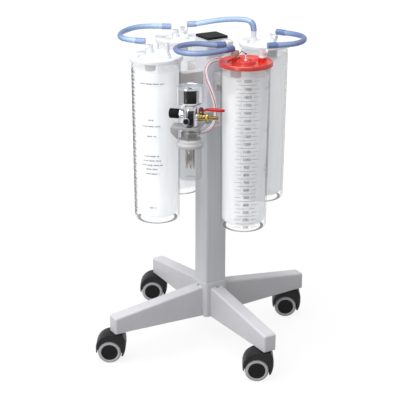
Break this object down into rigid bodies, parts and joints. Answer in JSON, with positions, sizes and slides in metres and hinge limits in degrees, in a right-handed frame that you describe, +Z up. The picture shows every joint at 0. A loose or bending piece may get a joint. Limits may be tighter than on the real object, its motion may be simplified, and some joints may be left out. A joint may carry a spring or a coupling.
{
  "type": "suction canister trolley",
  "caption": "Wheeled pedestal with clear suction canisters plumbed in series by blue hoses, a vacuum regulator with gauge, ball valve and safety jar.",
  "frame": {"origin": "centre of the footprint of everything but the hoses, on the floor", "axes": "+Z up along the post, -Y towards the canister with the red lid, the legs along X and Y"},
  "size_m": [0.5233, 0.5153, 0.7022],
  "materials": {
    "base_white": "satin",
    "post_grey": "satin",
    "sleeve_white": "satin",
    "bracket_grey": "satin",
    "black_plastic": "matte",
    "screw_steel": "satin",
    "wheel_plastic": "satin",
    "clear_plastic": "clear",
    "liner_film": "frosted",
    "lid_red": "gloss",
    "lid_white": "gloss",
    "fitting_white": "gloss",
    "hanger_grey": "matte",
    "hose_blue": "gloss",
    "tube_clear": "gloss",
    "chrome": "polished",
    "dial_white": "gloss",
    "needle_black": "satin",
    "brass": "satin",
    "lever_red": "gloss"
  },
  "bodies": {
    "trolley": {"base_cross": "base_white", "post": "post_grey", "post_cap": "black_plastic", "carrier_sleeve": "sleeve_white", "base_screws": "screw_steel", "sleeve_screws": "screw_steel", "castor_stems": "screw_steel", "manifold": "fitting_white", "canister_front": "clear_plastic", "liner_front": "liner_film", "lid_front": "lid_red", "hanger_front": "hanger_grey", "canister_left": "clear_plastic", "liner_left": "liner_film", "lid_left": "lid_white", "hanger_left": "hanger_grey", "canister_back": "clear_plastic", "liner_back": "liner_film", "lid_back": "lid_white", "hanger_back": "hanger_grey", "canister_right": "clear_plastic", "liner_right": "liner_film", "lid_right": "lid_white", "hanger_right": "hanger_grey", "elbows_front": "fitting_white", "elbow_left": "fitting_white", "elbows_back": "fitting_white", "elbow_right": "fitting_white", "connector_right": "fitting_white", "patient_nipple": "fitting_white", "regulator_body": "chrome", "port_plug": "black_plastic", "gauge_case": "chrome", "gauge_dial": "dial_white", "gauge_lens": "clear_plastic", "valve_body": "brass", "hose_barb": "brass", "jar_nut": "chrome", "jar_collar": "fitting_white", "safety_jar": "clear_plastic", "float_cage": "chrome", "regulator_bracket": "bracket_grey", "hose_front_to_post": "hose_blue", "hose_left_to_back": "hose_blue", "hose_back_to_right": "hose_blue", "hose_front_to_right": "hose_blue", "vacuum_tube": "tube_clear"},
    "castor_front": {"castor_hood_front": "black_plastic"},
    "wheels_front": {"castor_wheels_front": "wheel_plastic"},
    "castor_left": {"castor_hood_left": "black_plastic"},
    "wheels_left": {"castor_wheels_left": "wheel_plastic"},
    "castor_back": {"castor_hood_back": "black_plastic"},
    "wheels_back": {"castor_wheels_back": "wheel_plastic"},
    "castor_right": {"castor_hood_right": "black_plastic"},
    "wheels_right": {"castor_wheels_right": "wheel_plastic"},
    "knob": {"pressure_knob": "black_plastic"},
    "lever": {"valve_lever": "lever_red", "valve_stem": "screw_steel"},
    "needle": {"gauge_needle": "needle_black"}
  },
  "joints": [
    {"name": "swivel_front", "type": "hinge", "parent": "trolley", "child": "castor_front", "pos_m": [0.01431, -0.23514, 0.0657], "axis": [0, 0, 1], "continuous": true},
    {"name": "roll_front", "type": "hinge", "parent": "castor_front", "child": "wheels_front", "pos_m": [-0.00224, -0.2252, 0.025], "axis": [0.515, 0.8572, 0], "continuous": true},
    {"name": "swivel_left", "type": "hinge", "parent": "trolley", "child": "castor_left", "pos_m": [-0.21219, -0.00864, 0.0657], "axis": [0, 0, 1], "continuous": true},
    {"name": "roll_left", "type": "hinge", "parent": "castor_left", "child": "wheels_left", "pos_m": [-0.22873, 0.0013, 0.025], "axis": [0.515, 0.8572, 0], "continuous": true},
    {"name": "swivel_back", "type": "hinge", "parent": "trolley", "child": "castor_back", "pos_m": [0.01431, 0.21786, 0.0657], "axis": [0, 0, 1], "continuous": true},
    {"name": "roll_back", "type": "hinge", "parent": "castor_back", "child": "wheels_back", "pos_m": [-0.00224, 0.2278, 0.025], "axis": [0.515, 0.8572, 0], "continuous": true},
    {"name": "swivel_right", "type": "hinge", "parent": "trolley", "child": "castor_right", "pos_m": [0.24081, -0.00864, 0.0657], "axis": [0, 0, 1], "continuous": true},
    {"name": "roll_right", "type": "hinge", "parent": "castor_right", "child": "wheels_right", "pos_m": [0.22426, 0.0013, 0.025], "axis": [0.515, 0.8572, 0], "continuous": true},
    {"name": "knob_turn", "type": "hinge", "parent": "trolley", "child": "knob", "pos_m": [-0.10404, -0.08449, 0.551], "axis": [0.7071, -0.7071, 0], "range_deg": [-720, 720]},
    {"name": "lever_turn", "type": "hinge", "parent": "trolley", "child": "lever", "pos_m": [-0.07314, -0.11539, 0.5595], "axis": [0, 0, 1], "range_deg": [-90, 0]},
    {"name": "needle_turn", "type": "hinge", "parent": "trolley", "child": "needle", "pos_m": [-0.08919, -0.09934, 0.6025], "axis": [0, 0, 1], "range_deg": [0, 270]}
  ]
}
